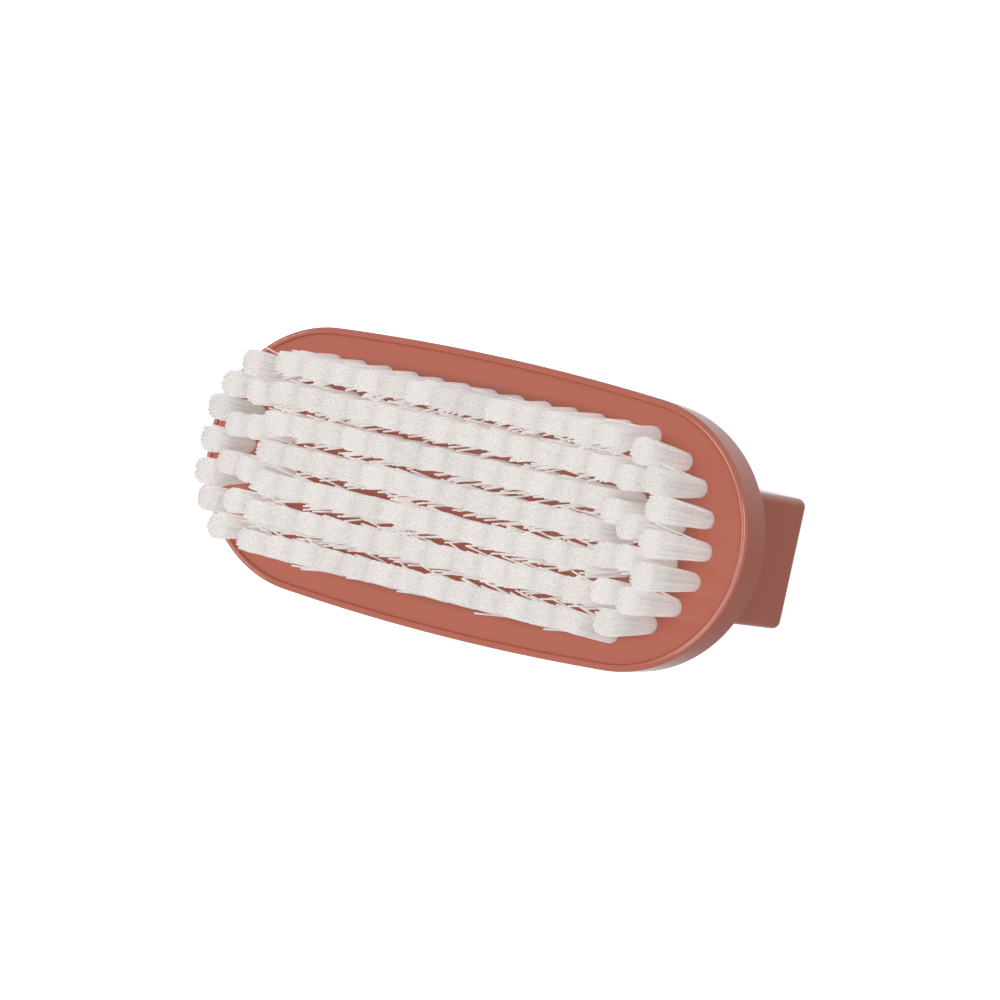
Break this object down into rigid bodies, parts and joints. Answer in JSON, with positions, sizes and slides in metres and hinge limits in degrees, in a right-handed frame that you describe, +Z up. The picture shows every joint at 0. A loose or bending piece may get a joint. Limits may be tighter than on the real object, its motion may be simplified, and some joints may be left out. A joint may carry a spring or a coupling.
{
  "type": "nail brush",
  "caption": "Oval nail brush: a flat moulded body full of upright nylon tufts, with a squared bridge handle on its back for the fingers.",
  "frame": {"origin": "middle of the handle's flat grip face, which the brush stands on with its bristles up", "axes": "+X along the brush, +Y across it, +Z up towards the bristle tips"},
  "size_m": [0.09, 0.0404, 0.0408],
  "materials": {
    "body_plastic": "glossy moulded plastic, dusty terracotta",
    "handle_plastic": "glossy moulded plastic, dusty terracotta",
    "nylon_bristle": "fine white nylon filaments with cut ends",
    "anchor_wire": "flat drawn wire"
  },
  "bodies": {
    "root": {"brush_body": "body_plastic", "bridge_handle": "handle_plastic", "tufts_row_1": "nylon_bristle", "tufts_row_2": "nylon_bristle", "tufts_row_3": "nylon_bristle", "tufts_row_4": "nylon_bristle", "tufts_row_5": "nylon_bristle", "tufts_row_6": "nylon_bristle", "tufts_row_7": "nylon_bristle", "tufts_right_outer_arc": "nylon_bristle", "tufts_right_inner_arc": "nylon_bristle", "tufts_left_outer_arc": "nylon_bristle", "tufts_left_inner_arc": "nylon_bristle", "anchors_row_1": "anchor_wire", "anchors_row_2": "anchor_wire", "anchors_row_3": "anchor_wire", "anchors_row_4": "anchor_wire", "anchors_row_5": "anchor_wire", "anchors_row_6": "anchor_wire", "anchors_row_7": "anchor_wire", "anchors_right_outer_arc": "anchor_wire", "anchors_right_inner_arc": "anchor_wire", "anchors_left_outer_arc": "anchor_wire", "anchors_left_inner_arc": "anchor_wire"}
  },
  "joints": []
}
